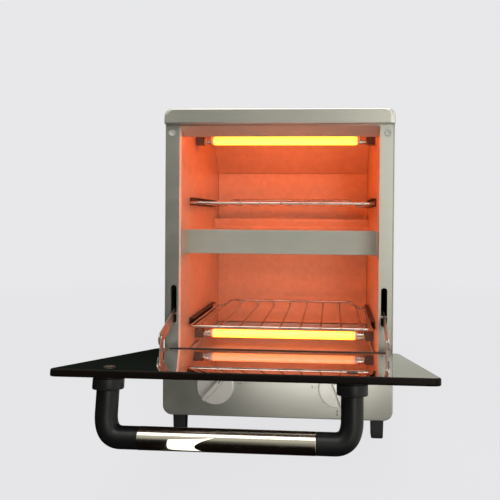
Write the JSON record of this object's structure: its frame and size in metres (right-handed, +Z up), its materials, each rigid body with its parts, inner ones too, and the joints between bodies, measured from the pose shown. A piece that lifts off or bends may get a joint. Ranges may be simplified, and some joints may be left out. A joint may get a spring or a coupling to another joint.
{
  "type": "countertop oven",
  "caption": "Compact two-tier countertop oven with a drop-down dark glass door, bar handle, wire racks, glowing quartz heaters and rotary controls",
  "frame": {"origin": "centre of the outer box's footprint with the door open, on the worktop under the feet", "axes": "+Z up, front and open door towards -Y, +X to the right seen from the front"},
  "size_m": [0.25, 0.4892, 0.343],
  "materials": {
    "satin_steel": "satin, faintly warm green-grey sheet",
    "zinc_sheet": "zinc-coated steel sheet, dull bright",
    "dark_steel": "heat-darkened steel",
    "chrome_wire": "chrome-plated wire",
    "quartz_tube": "satin quartz, glowing yellow",
    "ceramic": "fired brown ceramic, matte",
    "black_glass": "black-tinted tempered glass",
    "black_plastic": "black moulded plastic",
    "knob_silver": "silver-painted plastic",
    "bright_steel": "polished steel",
    "bumper_rubber": "clear-grey silicone",
    "control_housing": "cream moulded housing"
  },
  "bodies": {
    "cabinet": {"outer_wrap": "satin_steel", "back_panel": "zinc_sheet", "base_plate": "zinc_sheet", "front_frame": "satin_steel", "header_band": "satin_steel", "control_panel": "satin_steel", "liner_shell": "zinc_sheet", "rear_reflector": "zinc_sheet", "liner_back": "zinc_sheet", "liner_floor": "zinc_sheet", "rack_channel_upper_left": "dark_steel", "rack_channel_upper_right": "dark_steel", "rack_channel_lower_left": "dark_steel", "rack_channel_lower_right": "dark_steel", "middle_front_guard": "zinc_sheet", "middle_rear_guard": "zinc_sheet", "heater_tube_top": "quartz_tube", "heater_tube_middle": "quartz_tube", "heater_tube_bottom": "quartz_tube", "heater_holder_top_left": "ceramic", "heater_holder_top_right": "ceramic", "heater_holder_middle_left": "ceramic", "heater_holder_middle_right": "ceramic", "heater_holder_bottom_left": "ceramic", "heater_holder_bottom_right": "ceramic", "bumper_left": "bumper_rubber", "bumper_right": "bumper_rubber", "foot_front_left": "black_plastic", "foot_front_right": "black_plastic", "foot_rear_left": "black_plastic", "foot_rear_right": "black_plastic", "cord_inlet": "black_plastic", "timer": "control_housing", "function_switch": "control_housing", "hinge_bracket_left": "satin_steel", "hinge_bracket_right": "satin_steel", "back_screw_lower_left": "bright_steel", "back_screw_lower_right": "bright_steel", "back_screw_upper_left": "bright_steel", "back_screw_upper_right": "bright_steel"},
    "door": {"door_glass": "black_glass", "door_hinge_rail": "dark_steel", "hinge_rod": "bright_steel", "door_ear_left": "bright_steel", "door_ear_right": "bright_steel", "handle_post_left": "black_plastic", "handle_post_right": "black_plastic", "handle_tube": "bright_steel", "handle_screw_left": "bright_steel", "handle_screw_right": "bright_steel"},
    "link_arm_left": {"link_arm_left": "bright_steel"},
    "link_arm_right": {"link_arm_right": "bright_steel"},
    "upper_rack": {"upper_rack": "chrome_wire"},
    "lower_rack": {"lower_rack": "chrome_wire"},
    "crumb_tray": {"crumb_tray": "zinc_sheet"},
    "function_dial": {"function_knob": "knob_silver", "function_shaft": "bright_steel"},
    "timer_dial": {"timer_knob": "knob_silver", "timer_shaft": "bright_steel"}
  },
  "joints": [
    {"name": "door_hinge", "type": "hinge", "parent": "cabinet", "child": "door", "pos_m": [0, -0.00886, 0.0872], "axis": [1, 0, 0], "range_deg": [-80.3, 0]},
    {"name": "link_arm_left_pivot", "type": "hinge", "parent": "door", "child": "link_arm_left", "pos_m": [-0.11065, -0.04769, 0.11034], "axis": [1, 0, 0], "range_deg": [0, 80.3]},
    {"name": "link_arm_right_pivot", "type": "hinge", "parent": "door", "child": "link_arm_right", "pos_m": [0.11065, -0.04769, 0.11034], "axis": [1, 0, 0], "range_deg": [0, 80.3]},
    {"name": "upper_rack_slide", "type": "slide", "parent": "cabinet", "child": "upper_rack", "axis": [0, -1, 0], "range_m": [0, 0.11]},
    {"name": "lower_rack_slide", "type": "slide", "parent": "cabinet", "child": "lower_rack", "axis": [0, -1, 0], "range_m": [0, 0.11]},
    {"name": "crumb_tray_slide", "type": "slide", "parent": "cabinet", "child": "crumb_tray", "axis": [0, 1, 0], "range_m": [0, 0.16]},
    {"name": "function_turn", "type": "hinge", "parent": "cabinet", "child": "function_dial", "pos_m": [-0.063, 0, 0.0553], "axis": [0, 1, 0], "range_deg": [-222, 78]},
    {"name": "timer_turn", "type": "hinge", "parent": "cabinet", "child": "timer_dial", "pos_m": [0.063, 0, 0.0553], "axis": [0, 1, 0], "range_deg": [-160, 140]}
  ],
  "couplings": [
    {"joint": "link_arm_left_pivot", "follows": "door_hinge", "ratio": -1},
    {"joint": "link_arm_right_pivot", "follows": "door_hinge", "ratio": -1}
  ]
}
